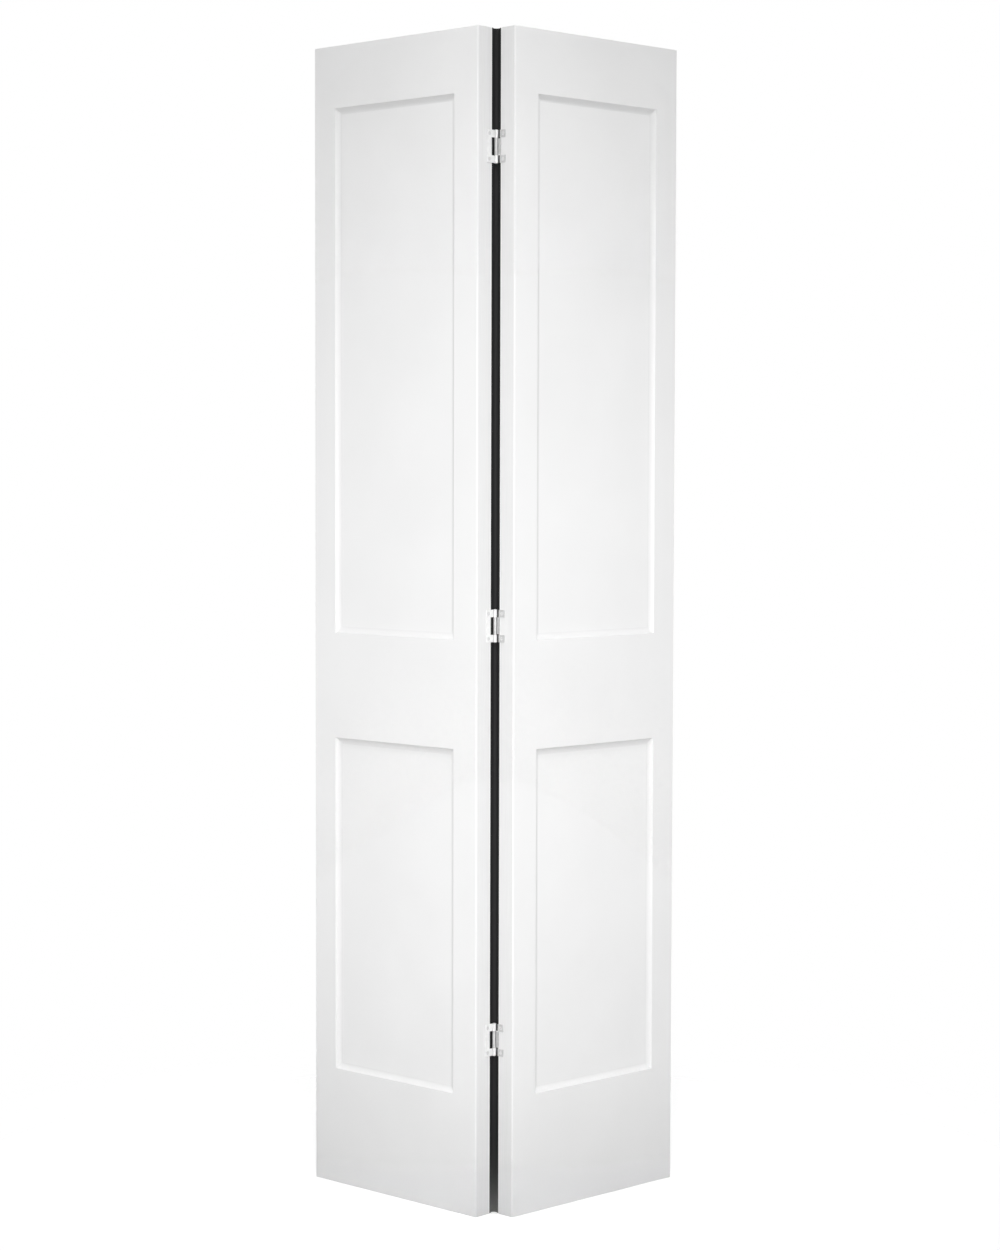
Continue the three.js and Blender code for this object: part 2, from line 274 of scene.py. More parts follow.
def sprayed_primer_on_pine():
    """The same primer on a planed wood edge: the grain runs up the door and just lifts the paint. Its white
    is greyer than on the faces, which paints shade on the edges.
    """
    material, tree, place = new_material("sprayed_primer_on_pine")
    grain = noise(tree, place, 1.4, 1.4, 70, detail=3)
    sockets = {
        "Base Color": blended(tree, between(tree, grain, 0, 1), linear("#E7E7E7"), linear("#E3E3E3")),
        "Roughness": between(tree, grain, 0.46, 0.56),
        "IOR": 1.48,
    }
    finish_surface(tree, grain, 0.03, sockets)
    return material


def raw_hardboard():
    """Sawn edge of high-density fibreboard: brown, matt, with short fibres lying across the board."""
    material, tree, place = new_material("raw_hardboard")
    fibres = noise(tree, place, 1.1, 0.35, 0.35, detail=4, roughness=0.65)
    sockets = {
        "Base Color": blended(tree, between(tree, fibres, 0, 1), linear("#6E5238"), linear("#A5855F")),
        "Roughness": between(tree, fibres, 0.78, 0.92),
        "IOR": 1.45,
    }
    finish_surface(tree, fibres, 0.08, sockets)
    return material


def sawn_pine(name, stretch, fibre_sizes, **growth):
    """Bare kiln-dried pine: growth rings on the ends, drawn out to grain along the length."""
    material, tree, place = new_material(name)
    squeezed = add(tree, "ShaderNodeMapping", {"Vector": place, "Scale": stretch}).outputs[0]
    rings = add(
        tree,
        "ShaderNodeTexWave",
        {
            "Vector": squeezed,
            "Scale": wave_scale(PINE_RING),
            "Distortion": 2.2,
            "Detail": 2,
            "Detail Scale": 1.4,
        },
        wave_profile="SAW",
        **growth,
    ).outputs["Fac"]
    fibres = noise(tree, place, *fibre_sizes, detail=3)
    wood = blended(tree, rings, linear("#E3C493"), linear("#B98850"))
    sockets = {
        "Base Color": blended(tree, between(tree, fibres, 0, 0.35), wood, linear("#D9BC90")),
        "Roughness": between(tree, fibres, 0.6, 0.75),
        "IOR": 1.45,
    }
    finish_surface(tree, fibres, 0.06, sockets)
    return material


def corrugated_cardboard():
    """Kraft paper core board: brown and matt, with the flutes showing through."""
    material, tree, place = new_material("corrugated_cardboard")
    flutes = add(
        tree,
        "ShaderNodeTexWave",
        {"Vector": place, "Scale": wave_scale(CARD_FLUTE), "Distortion": 0.4},
        bands_direction="Z",
    ).outputs["Fac"]
    fibres = noise(tree, place, 3)
    sockets = {
        "Base Color": blended(tree, between(tree, fibres, 0, 1), linear("#A98A62"), linear("#8E7049")),
        "Roughness": between(tree, fibres, 0.8, 0.9),
        "IOR": 1.45,
    }
    finish_surface(tree, flutes, 0.4, sockets)
    return material


def bright_zinc_on_rolled_steel(lighting_copy, cleanest, greyest, roughness):
    """Stamped strip with bright zinc plating that has gone nearly matt, with rolling lines along it.
    The roughness is given as its lowest and its highest."""
    material, tree, place = new_material(f"bright_zinc_on_rolled_steel_{lighting_copy}")
    lines = noise(tree, place, 0.35, 0.35, 25, detail=3)
    clouds = noise(tree, place, 6)
    sockets = {
        "Base Color": blended(tree, between(tree, clouds, 0, 1), linear(cleanest), linear(greyest)),
        "Metallic": 1.0,
        "Roughness": between(tree, lines, *roughness),
    }
    finish_surface(tree, lines, 0.008, sockets)
    return material


def bright_zinc_on_turned_steel():
    """Cold-headed pin and screws with the same plating: finer, with faint rings from the die."""
    material, tree, place = new_material("bright_zinc_on_turned_steel")
    rings = noise(tree, place, 12, 12, 0.3, detail=2)
    sockets = {
        "Base Color": blended(tree, between(tree, rings, 0, 1), linear("#EEEEEE"), linear("#E2E2E2")),
        "Metallic": 1.0,
        "Roughness": between(tree, rings, 0.5, 0.62),
    }
    finish_surface(tree, rings, 0.006, sockets)
    return material


def black_rubber_painted_shade():
    """Matt black rubber strip: fine lines along it from the die and a trace of dust. Its black is painted
    shade that darkens the gap between the leaves, and it turns grey towards its foot as painted light from
    the floor."""
    material, tree, place = new_material("black_rubber_painted_shade")
    lines = noise(tree, place, 0.5, 0.5, 300, detail=2)
    dust = between(tree, noise(tree, place, 1.2, 1.2, 4, detail=4, roughness=0.7), 0, 0.3, 0.62, 0.9)
    # grey towards the foot of the seal: painted light from the floor
    height = add(tree, "ShaderNodeSeparateXYZ", {0: place}).outputs["Z"]
    nearness = between(tree, height, 1, 0, 0, FLOOR_LIGHT_HEIGHT * MM)
    painted_floor_light = add(tree, "ShaderNodeMath", {0: nearness, 1: FLOOR_LIGHT_FALL}, operation="POWER").outputs[0]
    # the grey's mask holds real dust specks and the painted floor light
    worn = add(tree, "ShaderNodeMath", {0: dust, 1: painted_floor_light}, operation="MAXIMUM").outputs[0]
    sockets = {
        "Base Color": blended(tree, worn, linear("#151516"), linear("#6A6A69")),
        "Roughness": between(tree, lines, 0.68, 0.82),
        "IOR": 1.5,
    }
    finish_surface(tree, lines, 0.03, sockets)
    return material


PRIMED_FACE = sprayed_primer_on_hardboard("face", "#F0F0F0", "#EDEDED")
SLOPE_PRIMER_PAINTED_SHADE = sprayed_primer_on_hardboard("slope", "#EAEAEA", "#E7E7E7")  # a greyer copy of the primer that paints shade on the slopes
EDGE_PRIMER_PAINTED_SHADE = sprayed_primer_on_pine()
HARDBOARD = raw_hardboard()
STILE_PINE = sawn_pine(
    "sawn_pine_stile",
    (1, 1, GRAIN_STRETCH),
    (FIBRE_WIDTH, FIBRE_WIDTH, FIBRE_LENGTH),
    wave_type="RINGS",
    rings_direction="Z",
)
RAIL_PINE = sawn_pine(
    "sawn_pine_rail",
    (GRAIN_STRETCH, 1, 1),
    (FIBRE_LENGTH, FIBRE_WIDTH, FIBRE_WIDTH),
    wave_type="BANDS",
    bands_direction="Y",
)
CARDBOARD = corrugated_cardboard()
ZINC_STRIP = {  # the left plates wear a whiter, rougher copy of the zinc that paints light on them, the right ones a greyer copy that paints shade
    "left": bright_zinc_on_rolled_steel("whiter_copy_painted_light", "#FCFCFC", "#F6F6F6", (0.8, 0.94)),
    "right": bright_zinc_on_rolled_steel("greyer_copy_painted_shade", "#E0E0E0", "#D5D5D5", (0.6, 0.74)),
}
ZINC_TURNED = bright_zinc_on_turned_steel()
GAP_RUBBER_PAINTED_SHADE = black_rubber_painted_shade()


# Making meshes


def new_piece(name, side, points, faces, materials, face_materials=None):
    """A mesh drawn in millimetres in the frame of the right leaf, put on its side's leaf."""
    mesh = bpy.data.meshes.new(name)
    sign = SIDES[side]
    mesh.from_pydata([(sign * x * MM, y * MM, z * MM) for x, y, z in points], [], faces)
    for material in materials:
        mesh.materials.append(material)
    if face_materials:
        mesh.polygons.foreach_set("material_index", face_materials)
    shell = bmesh.new()
    shell.from_mesh(mesh)
    bmesh.ops.recalc_face_normals(shell, faces=shell.faces)
    shell.to_mesh(mesh)
    shell.free()
    piece = bpy.data.objects.new(name, mesh)
    bpy.context.scene.collection.objects.link(piece)
    piece.matrix_world = leaf_matrix(side)
    return piece


def cut_away(piece, cutters):
    """The piece less the cutters, which are used up."""
    for cutter in cutters:
        cut = piece.modifiers.new("cut", "BOOLEAN")
        cut.operation = "DIFFERENCE"
        cut.solver = "EXACT"
        cut.object = cutter
    bpy.context.view_layer.update()
    whole = piece.evaluated_get(bpy.context.evaluated_depsgraph_get())
    result = bpy.data.meshes.new_from_object(whole)
    piece.modifiers.clear()
    piece.data = result
    for cutter in cutters:
        bpy.data.objects.remove(cutter)


def ease_edges(piece, bevel=0, segments=2):
    """Smooth shading with the real edges kept, each rounded by a small bevel."""
    piece.data.shade_smooth()
    piece.data.set_sharp_from_angle(angle=SHARP_ANGLE)
    if bevel:
        rounding = piece.modifiers.new("eased_edges", "BEVEL")
        rounding.width = bevel * MM
        rounding.segments = segments
        rounding.limit_method = "ANGLE"
        rounding.angle_limit = SHARP_ANGLE
        rounding.use_clamp_overlap = True
    normals = piece.modifiers.new("even_shading", "WEIGHTED_NORMAL")
    normals.weight = 100
    normals.keep_sharp = True


def fit_piece(piece, side, slot, *nodes):
    """Puts a finished piece on its leaf in place of the CAD nodes."""
    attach(piece, f"{side}_leaf")
    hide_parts(*nodes)


def box_faces(low, high):
    """Corners and faces of a block."""
    points = [(x, y, z) for z in (low[2], high[2]) for y in (low[1], high[1]) for x in (low[0], high[0])]
    faces = [(0, 2, 3, 1), (4, 5, 7, 6), (0, 1, 5, 4), (2, 6, 7, 3), (0, 4, 6, 2), (1, 3, 7, 5)]
    return points, faces


def turned(profile, sides=TURNED_SIDES):
    """Points and faces of a shape turned about x, from (place along x, radius) pairs
    of which the first and the last lie on the axis."""
    rings = profile[1:-1]
    points = [(profile[0][0], 0, 0), (profile[-1][0], 0, 0)]
    for along, radius in rings:
        for k in range(sides):
            angle = 2 * math.pi * k / sides
            points.append((along, radius * math.cos(angle), radius * math.sin(angle)))
    faces = []
    last = 2 + (len(rings) - 1) * sides
    for k in range(sides):
        following = (k + 1) % sides
        faces.append((0, 2 + following, 2 + k))
        faces.append((1, last + k, last + following))
        for ring in range(len(rings) - 1):
            first = 2 + ring * sides
            second = first + sides
            faces.append((first + k, first + following, second + following, second + k))
    return points, faces


def moved(points, x=0, y=0, z=0):
    """The points, shifted."""
    return [(p[0] + x, p[1] + y, p[2] + z) for p in points]


def stood_up(points):
    """A shape turned about x, stood on end."""
    return [(-z, y, x) for x, y, z in points]


# The moulded skins


def rounded_slope(corner, depth, brow_radius, hollow_radius):
    """(inset, depth) points of the slope round a sunk panel, with a round at its top and at its foot."""
    turn = math.tan(SLOPE_ANGLE / 2)
    points = []
    for k in range(ROUND_STEPS + 1):
        angle = SLOPE_ANGLE * k / ROUND_STEPS
        inset = corner - brow_radius * turn + brow_radius * math.sin(angle)
        points.append((inset, depth + brow_radius * (1 - math.cos(angle))))
    for k in range(ROUND_STEPS + 1):
        angle = SLOPE_ANGLE * (1 - k / ROUND_STEPS)
        inset = corner + SLOPE_RUN + hollow_radius * turn - hollow_radius * math.sin(angle)
        points.append((inset, depth + SLOPE_DEPTH - hollow_radius * (1 - math.cos(angle))))
    return points


SHOW_SLOPE = rounded_slope(0, 0, BROW_RADIUS, HOLLOW_RADIUS)
HIDDEN_CORNER = -SKIN_THICKNESS * math.tan(SLOPE_ANGLE / 2)
HIDDEN_SLOPE = rounded_slope(HIDDEN_CORNER, SKIN_THICKNESS, HIDDEN_BROW_RADIUS, HOLLOW_RADIUS)
SHOW_DEPTHS = [0] + [depth for _, depth in SHOW_SLOPE]
HIDDEN_DEPTHS = [SKIN_THICKNESS] + [depth for _, depth in HIDDEN_SLOPE]


def skin_lines(start, end, edge_radius, panels):
    """Lines across a skin, each as its place on the show face and on the hidden face,
    its step down the slope, and how far the show face has fallen away at the rounded edge."""
    rounds = []
    for k in range(ROUND_STEPS + 1):
        angle = math.pi / 2 * (1 - k / ROUND_STEPS)
        rounds.append((edge_radius * (1 - math.sin(angle)), edge_radius * (1 - math.cos(angle))))
    lines = [(start + inset, start + inset, 0, fall) for inset, fall in rounds]
    slopes = list(enumerate(zip(SHOW_SLOPE, HIDDEN_SLOPE), start=1))
    for low, high in panels:
        lines += [(low + show[0], low + hidden[0], step, 0) for step, (show, hidden) in slopes]
        lines += [(high - show[0], high - hidden[0], step, 0) for step, (show, hidden) in reversed(slopes)]
    lines += [(end - inset, end - inset, 0, fall) for inset, fall in reversed(rounds)]
    return lines


def skin_cell(corners, depths):
    """One cell of a skin: whole where it is flat, and cut along the mitre where two slopes meet."""
    rising = abs(depths[0] - depths[2])
    falling = abs(depths[1] - depths[3])
    if math.isclose(rising, falling, abs_tol=1e-6):
        return [corners]
    if rising > falling:
        return [(corners[0], corners[1], corners[2]), (corners[0], corners[2], corners[3])]
    return [(corners[0], corners[1], corners[3]), (corners[1], corners[2], corners[3])]


def moulded_skin(side, face):
    """One pressed hardboard skin with its two sunk panels, primed all over but at its ends."""
    if face == "front":
        face_y, inward, edge_radius = FRONT_Y, 1, ARRIS_RADIUS
    else:
        face_y, inward, edge_radius = BACK_Y, -1, BACK_EDGE_RADIUS
    across = skin_lines(EDGE_X, OUTER_X, edge_radius, [PANEL_X])
    up = skin_lines(0, LEAF_HEIGHT, END_EDGE_RADIUS, [LOWER_PANEL_Z, UPPER_PANEL_Z])
    points = []
    depths = []
    steps = []
    for hidden in (False, True):
        for z_show, z_hidden, z_step, z_fall in up:
            for x_show, x_hidden, x_step, x_fall in across:
                step = min(x_step, z_step)
                if hidden:
                    x, z, depth = x_hidden, z_hidden, HIDDEN_DEPTHS[step]
                else:
                    x, z, depth = x_show, z_show, SHOW_DEPTHS[step] + max(x_fall, z_fall)
                points.append((x, face_y + inward * depth, z))
                depths.append(depth)
                steps.append(step)
    columns = len(across)
    rows = len(up)
    layer = columns * rows
    faces = []
    finish = []
    on_face, on_slope, on_end = 0, 1, 2
    for first in (0, layer):
        for row in range(rows - 1):
            for column in range(columns - 1):
                corner = first + row * columns + column
                corners = (corner, corner + 1, corner + columns + 1, corner + columns)
                cell = skin_cell(corners, [depths[c] for c in corners])
                faces += cell
                # cells on the slopes wear the greyer primer copy, which paints shade on them
                cell_steps = {steps[c] for c in corners}
                sloped = len(cell_steps) > 1 and max(cell_steps) > 1
                finish += [on_slope if sloped else on_face] * len(cell)
    for row in range(rows - 1):
        for column in (0, columns - 1):
            corner = row * columns + column
            faces.append((corner, corner + columns, corner + columns + layer, corner + layer))
            finish.append(on_face)
    for column in range(columns - 1):
        for row in (0, rows - 1):
            corner = row * columns + column
            faces.append((corner, corner + 1, corner + 1 + layer, corner + layer))
            finish.append(on_end)
    finishes = [PRIMED_FACE, SLOPE_PRIMER_PAINTED_SHADE, HARDBOARD]
    skin = new_piece(f"{side}_{face}_moulded_skin", side, points, faces, finishes, finish)
    ease_edges(skin)
    fit_piece(skin, side, "moulded_skin", f"{side}_{face}_skin")


# The wood inside the leaves


def wood_piece(side, name, joints=(), cutters=()):
    """A planed length of pine, primed on the long edges of the leaf. It fills the glue gaps to the skins,
    and those at the faces named in joints: ends, bottom or top."""
    node = f"{side}_{name}"
    low, high = leaf_box(node, side)
    reach = GLUE_GAP - JOINT_GAP
    low.y -= reach
    high.y += reach
    if "ends" in joints:
        low.x -= reach
        high.x += reach
    if "bottom" in joints:
        low.z -= reach
    if "top" in joints:
        high.z += reach
    points, faces = box_faces(low, high)
    # the leaf's long edges take the greyer edge primer, which paints shade on them
    primed = [0, 0, 0, 0, int(low.x < EDGE_X + GLUE_GAP), int(high.x > OUTER_X - GLUE_GAP)]
    bare_pine = RAIL_PINE if name.endswith("rail") else STILE_PINE
    wood = new_piece(f"{node}_pine", side, points, faces, [bare_pine, EDGE_PRIMER_PAINTED_SHADE], primed)
    if cutters:
        cut_away(wood, cutters)
    ease_edges(wood, WOOD_BEVEL, 1)
    fit_piece(wood, side, "frame_wood", node)


def pilot_holes(side):
    """The holes that the hinge screws go into."""
    radius = SHANK_RADIUS + GLUE_GAP / 2
    profile = [(-CUT_OVERRUN, 0), (-CUT_OVERRUN, radius), (SCREW_LENGTH, radius), (SCREW_LENGTH, 0)]
    holes = []
    for level in hinge_levels.values():
        for ear in (-EAR_OFFSET, EAR_OFFSET):
            points, faces = turned(profile, HOLE_SIDES)
            holes.append(new_piece("hole", side, moved(points, EDGE_X, SCREW_Y, level + ear), faces, []))
    return holes


def pivot_socket(side, at_top):
    """The bore that takes a pivot or guide pin."""
    if at_top:
        bottom, top = LEAF_HEIGHT - SOCKET_DEPTH, LEAF_HEIGHT + CUT_OVERRUN
    else:
        bottom, top = -CUT_OVERRUN, SOCKET_DEPTH
    profile = [(bottom, 0), (bottom, SOCKET_RADIUS), (top, SOCKET_RADIUS), (top, 0)]
    points, faces = turned(profile, HOLE_SIDES)
    place = moved(stood_up(points), OUTER_X - SOCKET_FROM_EDGE, (FRONT_Y + BACK_Y) / 2)
    return new_piece("socket", side, place, faces, [])


# The hinges


def plate_path(stations):
    """Middle line of a rolled plate, seen from above: straight along the leaf, through a bend,
    and round the pin to the seam."""
    roll = BARREL_RADIUS - PLATE_THICKNESS / 2
    bend_x = PLATE_MIDDLE_X + BEND_RADIUS
    bend_y = -math.sqrt((roll + BEND_RADIUS) ** 2 - bend_x**2)
    roll_start = math.atan2(bend_y, bend_x)
    path = [(PLATE_MIDDLE_X, y) for y in stations]
    bend_end = roll_start + math.pi
    for k in range(BEND_STEPS + 1):
        angle = math.pi + (bend_end - math.pi) * k / BEND_STEPS
        path.append((bend_x + BEND_RADIUS * math.cos(angle), bend_y + BEND_RADIUS * math.sin(angle)))
    for k in range(1, ROLL_STEPS + 1):
        angle = roll_start + (SEAM_ANGLE - roll_start) * k / ROLL_STEPS
        path.append((roll * math.cos(angle), roll * math.sin(angle)))
    return path


def path_normals(path):
    """Unit vectors square to the path, to its left."""
    normals = []
    for k in range(len(path)):
        before = path[max(k - 1, 0)]
        after = path[min(k + 1, len(path) - 1)]
        along = Vector((after[0] - before[0], after[1] - before[1])).normalized()
        normals.append((-along.y, along.x))
    return normals


def sheet_strip(path, levels, kept):
    """A sheet of the plate's thickness that follows the path, made of the cells
    for which kept(row, station) holds."""
    normals = path_normals(path)
    half = PLATE_THICKNESS / 2
    points = []
    for offset in (-half, half):
        for level in levels:
            for (x, y), (nx, ny) in zip(path, normals):
                points.append((x + offset * nx, y + offset * ny, level))
    stations = len(path)
    layer = stations * len(levels)
    cells = {(r, s) for r in range(len(levels) - 1) for s in range(stations - 1) if kept(r, s)}
    faces = []
    for row, station in sorted(cells):
        low = row * stations + station
        high = low + stations
        faces.append((low, low + 1, high + 1, high))
        faces.append((layer + low, layer + low + 1, layer + high + 1, layer + high))
        sides = {
            (row - 1, station): (low, low + 1),
            (row + 1, station): (high, high + 1),
            (row, station - 1): (low, high),
            (row, station + 1): (low + 1, high + 1),
        }
        for neighbour, (a, b) in sides.items():
            if neighbour not in cells:
                faces.append((a, b, layer + b, layer + a))
    used = sorted({index for face in faces for index in face})
    renumbered = {index: k for k, index in enumerate(used)}
    return [points[index] for index in used], [[renumbered[i] for i in face] for face in faces]


def round_ear_corners(plate, side):
    """Rounds the two outer corners of the plate, as the stamping die leaves them."""
    shell = bmesh.new()
    shell.from_mesh(plate.data)
    half = HINGE_HEIGHT / 2
    corners = []
    for edge in shell.edges:
        ends = [v.co / MM for v in edge.verts]
        at_end = all(math.isclose(p.y, PLATE_END_Y, abs_tol=0.01) for p in ends)
        at_tip = all(math.isclose(abs(p.z), half, abs_tol=0.01) for p in ends)
        across = abs(ends[0].x - ends[1].x) > PLATE_THICKNESS / 2
        if at_end and at_tip and across:
            corners.append(edge)
    bmesh.ops.bevel(
        shell,
        geom=corners,
        offset=EAR_CORNER_RADIUS * MM,
        segments=EAR_CORNER_STEPS,
        profile=0.5,
        affect="EDGES",
    )
    shell.to_mesh(plate.data)
    shell.free()


def countersinks(side):
    """Cutters for the two screw holes of a plate, drawn at the height of the hinge's middle."""
    mouth = HEAD_RADIUS + COUNTERSINK_GAP
    throat = SHANK_RADIUS + COUNTERSINK_GAP
    profile = [
        (PLATE_FACE_X - CUT_OVERRUN, 0),
        (PLATE_FACE_X - CUT_OVERRUN, mouth),
        (PLATE_FACE_X + SCREW_SINK, mouth),
        (PLATE_OUTER_X, throat),
        (PLATE_OUTER_X + CUT_OVERRUN, throat),
        (PLATE_OUTER_X + CUT_OVERRUN, 0),
    ]
    cutters = []
    for ear in (-EAR_OFFSET, EAR_OFFSET):
        points, faces = turned(profile)
        cutters.append(new_piece("countersink", side, moved(points, 0, SCREW_Y, ear), faces, []))
    return cutters


def end_knuckle_plate_cells():
    """Stations, levels and kept cells of the plate whose two ears end in the upper and lower knuckles."""
    half = HINGE_HEIGHT / 2
    stations = [PLATE_END_Y, PLATE_END_Y + END_WEB_WIDTH]
    levels = [-half, -EAR_HALF_GAP, EAR_HALF_GAP, half]

    def kept(row, station):
        return row != 1 or station == 0

    return stations, levels, kept


def middle_knuckle_plate_cells():
    """The same for the other plate: a middle knuckle on a web, and a relief slot
    between the web and each ear."""
    half = HINGE_HEIGHT / 2
    knuckle_half = MIDDLE_KNUCKLE / 2
    web_half = knuckle_half - RELIEF_SLOT
    stations = [PLATE_END_Y, BACK_Y - WEB_REACH, BACK_Y, BACK_Y + EAR_OVERHANG]
    levels = [-half, -EAR_HALF_GAP, -knuckle_half, -web_half, web_half, knuckle_half, EAR_HALF_GAP, half]
    ear_ends = 2  # index of the last straight stretch of an ear
    ear_row, gap_row, slot_row = 0, 1, 2

    def kept(row, station):
        row = min(row, len(levels) - 2 - row)  # counted from the nearer end of the plate
        if row == ear_row:
            return station <= ear_ends
        if row == gap_row:
            return station == 1
        if row == slot_row:
            return station == 1 or station > ear_ends + 1
        return station >= 1

    return stations, levels, kept


def hinge_plate(level_name, side):
    """One stamped and rolled plate: the left one has the end knuckles, the right one the middle knuckle."""
    cells = end_knuckle_plate_cells() if side == "left" else middle_knuckle_plate_cells()
    stations, levels, kept = cells
    points, faces = sheet_strip(plate_path(stations), levels, kept)
    node = f"{level_name}_hinge_{side}_plate"
    plate = new_piece(f"{node}_rolled", side, points, faces, [ZINC_STRIP[side]])
    round_ear_corners(plate, side)
    cut_away(plate, countersinks(side))
    lift_to(plate, side, hinge_levels[level_name])
    ease_edges(plate, PLATE_BEVEL)
    fit_piece(plate, side, "hinge_plate", node)


def lift_to(piece, side, level, y=0):
    """Moves a piece that is drawn about z = 0 to its height on the leaf."""
    piece.matrix_world = leaf_matrix(side) @ Matrix.Translation((0, y * MM, level * MM))


def hinge_pin(level_name):
    """The pin with its two domed heads."""
    end = HINGE_HEIGHT / 2 + PIN_HEAD_GAP
    dome = []
    for k in range(PIN_STEPS):
        angle = math.pi / 2 * k / (PIN_STEPS - 1)
        dome.append((end + PIN_HEAD_HEIGHT * math.sin(angle), PIN_HEAD_RADIUS * math.cos(angle)))
    dome[-1] = (dome[-1][0], 0)  # exactly on the axis
    upper = [(end, PIN_RADIUS), *dome]
    profile = [(-along, radius) for along, radius in reversed(upper)] + upper
    points, faces = turned(profile)
    node = f"{level_name}_hinge_pin"
    pin = new_piece(f"{node}_headed", "left", stood_up(points), faces, [ZINC_TURNED])
    lift_to(pin, "left", hinge_levels[level_name])
    ease_edges(pin)
    fit_piece(pin, "left", "pin_and_screws", node)


def cross_recess_arm(side, upright):
    """One arm of the tapered cross in a screw head."""
    head_x = PLATE_FACE_X + SCREW_SINK
    points = []
    for x, span, width in (
        (PLATE_FACE_X - CUT_OVERRUN, CROSS_SPAN, CROSS_WIDTH),
        (head_x, CROSS_SPAN, CROSS_WIDTH),
        (head_x + CROSS_DEPTH, CROSS_BOTTOM_SPAN, CROSS_BOTTOM_WIDTH),
    ):
        for a, b in ((-1, -1), (1, -1), (1, 1), (-1, 1)):
            first, second = a * span / 2, b * width / 2
            points.append((x, second, first) if upright else (x, first, second))
    faces = [(0, 1, 2, 3), (8, 9, 10, 11)]
    for ring in (0, 4):
        for k in range(4):
            following = (k + 1) % 4
            faces.append((ring + k, ring + following, ring + 4 + following, ring + 4 + k))
    return new_piece("recess", side, points, faces, [])


def countersunk_screw(side):
    """A flat-headed wood screw along x, with a cross recess, and a thread worn smooth by its pilot hole."""
    head_x = PLATE_FACE_X + SCREW_SINK
    end = head_x + SCREW_LENGTH
    profile = [
        (head_x, 0),
        (head_x, HEAD_RADIUS - HEAD_RIM),
        (head_x + HEAD_RIM, HEAD_RADIUS),
        (PLATE_OUTER_X, SHANK_RADIUS),
        (end - SCREW_TIP, SHANK_RADIUS),
        (end, 0),
    ]
    points, faces = turned(profile)
    screw = new_piece(f"{side}_countersunk_screw", side, points, faces, [ZINC_TURNED])
    cut_away(screw, [cross_recess_arm(side, True), cross_recess_arm(side, False)])
    return screw


def fit_screws(side):
    """The same screw in every ear of the plates on one leaf."""
    pattern = countersunk_screw(side)
    for level_name, level in hinge_levels.items():
        for ear, offset in (("lower", -EAR_OFFSET), ("upper", EAR_OFFSET)):
            node = f"{level_name}_hinge_{side}_{ear}_screw"
            screw = bpy.data.objects.new(f"{node}_crosshead", pattern.data)
            bpy.context.scene.collection.objects.link(screw)
            lift_to(screw, side, level + offset, SCREW_Y)
            ease_edges(screw)
            fit_piece(screw, side, "pin_and_screws", node)
    bpy.data.objects.remove(pattern)


# The seal behind the gap


def gap_seal():
    """A rubber strip: a flange on the back of the left leaf, and an arc round the hinge line
    that closes the gap. Its black fills the gap with painted shade."""
    outer_radius = -BACK_Y - SEAL_CLEARANCE
    inner_radius = outer_radius - SEAL_THICKNESS
    flange_y = BACK_Y + GLUE_GAP
    flange_top_y = flange_y + SEAL_THICKNESS
    start = math.asin(flange_top_y / outer_radius)
    section = [(SEAL_FLANGE, flange_top_y)]
    for k in range(SEAL_ARC_STEPS + 1):
        angle = start + (SEAL_ARC_END - start) * k / SEAL_ARC_STEPS
        section.append((outer_radius * math.cos(angle), outer_radius * math.sin(angle)))
    for k in range(SEAL_ARC_STEPS + 1):
        angle = SEAL_ARC_END + (SEAL_ARC_START - SEAL_ARC_END) * k / SEAL_ARC_STEPS
        section.append((inner_radius * math.cos(angle), inner_radius * math.sin(angle)))
    section += [(EDGE_X + SEAL_FROM_CORNER, flange_y), (SEAL_FLANGE, flange_y)]
    count = len(section)
    points = [(x, y, z) for z in (SEAL_END_GAP, LEAF_HEIGHT - SEAL_END_GAP) for x, y in section]
    faces = [tuple(range(count)), tuple(range(count, 2 * count))]
    faces += [(k, (k + 1) % count, count + (k + 1) % count, count + k) for k in range(count)]
    seal = new_piece("gap_seal_extruded", "left", points, faces, [GAP_RUBBER_PAINTED_SHADE])
    notch_half = MIDDLE_KNUCKLE / 2 - RELIEF_SLOT + SEAL_NOTCH_GAP
    notches = []
    for level in hinge_levels.values():
        low = (-outer_radius - CUT_OVERRUN, -outer_radius - CUT_OVERRUN, level - notch_half)
        high = (PLATE_OUTER_X + SEAL_NOTCH_SIDE, outer_radius + CUT_OVERRUN, level + notch_half)
        notches.append(new_piece("notch", "left", *box_faces(low, high), []))
    cut_away(seal, notches)
    ease_edges(seal, SEAL_BEVEL)
    fit_piece(seal, "left", "gap_seal", "gap_seal")


# The door

hinge_levels = {}
for level_name in ("bottom", "middle", "top"):
    low, high = leaf_box(f"{level_name}_hinge_right_plate", "right")
    hinge_levels[level_name] = (low.z + high.z) / 2

for side in SIDES:
    for face in ("front", "back"):
        moulded_skin(side, face)
    wood_piece(side, "hinge_stile", cutters=pilot_holes(side))
    wood_piece(side, "outer_stile", joints=("bottom", "top") if side == "left" else ("top",))
    wood_piece(side, "top_pivot_block", cutters=[pivot_socket(side, at_top=True)])
    if side == "left":
        wood_piece(side, "bottom_pivot_block", cutters=[pivot_socket(side, at_top=False)])
    for rail in ("top_rail", "lock_rail", "bottom_rail"):
        wood_piece(side, rail, joints=("ends",))
    for core in ("upper_core", "lower_core"):
        core_mesh = frame["nodes"][f"{side}_{core}"].data
        core_mesh.materials.clear()
        core_mesh.materials.append(CARDBOARD)
    for level_name in hinge_levels:
        hinge_plate(level_name, side)
    fit_screws(side)

for level_name in hinge_levels:
    hinge_pin(level_name)
gap_seal()


# Floor, light and camera

FLOOR_RADIUS = 1.3  # metres, as are all lengths from here on
FLOOR_FADE_START = 0.45
FLOOR_SIDES = 96
FLOOR_GLOW = 0.3  # of the lit floor, where the camera sees it


